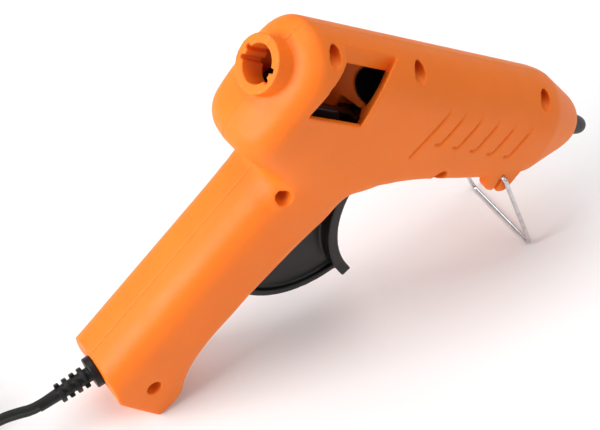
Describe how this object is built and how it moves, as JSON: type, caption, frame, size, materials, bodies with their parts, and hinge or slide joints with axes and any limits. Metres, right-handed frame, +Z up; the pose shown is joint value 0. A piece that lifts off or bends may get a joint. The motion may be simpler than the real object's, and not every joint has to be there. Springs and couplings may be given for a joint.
{
  "type": "glue gun",
  "caption": "Corded hot glue gun in two moulded shells, with a squeeze trigger, a stick window, a rubber-jacketed nozzle and a fold-out wire stand.",
  "frame": {"origin": "on the table, below the middle of the standing gun's box without its lead", "axes": "+X horizontal towards the nozzle, +Y to the gun's left, +Z up"},
  "size_m": [0.3376, 0.0536, 0.1289],
  "materials": {
    "orange_abs": "satin",
    "black_plastic": "satin",
    "black_rubber": "matte",
    "black_pvc": "satin",
    "steel_wire": "bright",
    "zinc_steel": "satin",
    "brass": "satin",
    "cast_aluminium": "cast",
    "ceramic": "matte",
    "silicone": "matte",
    "sleeve_silicone": "matte",
    "brown_pvc": "satin",
    "blue_pvc": "satin",
    "white_nylon": "satin"
  },
  "bodies": {
    "body": {"right_shell": "orange_abs", "left_shell": "orange_abs", "shell_screws": "zinc_steel", "nozzle": "brass", "nozzle_jacket": "black_rubber", "melt_chamber": "cast_aluminium", "heater_element": "ceramic", "heater_clip": "zinc_steel", "chamber_ring": "silicone", "inlet_sleeve": "sleeve_silicone", "trigger_pin": "zinc_steel", "trigger_spring": "zinc_steel", "cord_clamp": "black_plastic", "clamp_screws": "zinc_steel", "wire_joints": "white_nylon", "lead_live": "brown_pvc", "lead_neutral": "blue_pvc", "strain_relief": "black_pvc", "inner_cord": "black_pvc", "power_cord": "black_pvc", "cord_coil": "black_pvc", "cord_tie": "black_plastic", "plug_body": "black_pvc", "plug_pins": "zinc_steel"},
    "trigger": {"trigger": "black_plastic"},
    "feed": {"feed_carriage": "black_plastic", "gripper_pin": "zinc_steel", "link_pin": "zinc_steel"},
    "gripper": {"stick_gripper": "zinc_steel"},
    "link": {"drive_link": "black_plastic"},
    "stand": {"wire_stand": "steel_wire"}
  },
  "joints": [
    {"name": "trigger_squeeze", "type": "hinge", "parent": "body", "child": "trigger", "pos_m": [-0.00357, 0, 0.06648], "axis": [0, 1, 0], "range_deg": [0, 20], "stiffness_Nm_per_rad": 0.25, "springref_deg": -22.92, "deforming": ["trigger_spring"]},
    {"name": "feed_slide", "type": "slide", "parent": "body", "child": "feed", "axis": [0.8214, 0, -0.5703], "range_m": [0, 0.0052]},
    {"name": "link_swing", "type": "hinge", "parent": "trigger", "child": "link", "pos_m": [0.00251, 0, 0.07967], "axis": [0, 1, 0], "range_deg": [-21, 0]},
    {"name": "gripper_bite", "type": "hinge", "parent": "feed", "child": "gripper", "pos_m": [-0.02195, 0, 0.09787], "axis": [0, 1, 0], "range_deg": [0, 4.5]},
    {"name": "stand_fold", "type": "hinge", "parent": "body", "child": "stand", "pos_m": [0.05054, 0, 0.04097], "axis": [0, 1, 0], "range_deg": [0, 128]}
  ],
  "couplings": [
    {"joint": "feed_slide", "follows": "trigger_squeeze", "m_per_rad": 0.014447},
    {"joint": "link_swing", "follows": "trigger_squeeze", "ratio": -1},
    {"joint": "gripper_bite", "follows": "trigger_squeeze", "ratio": 0.2}
  ]
}
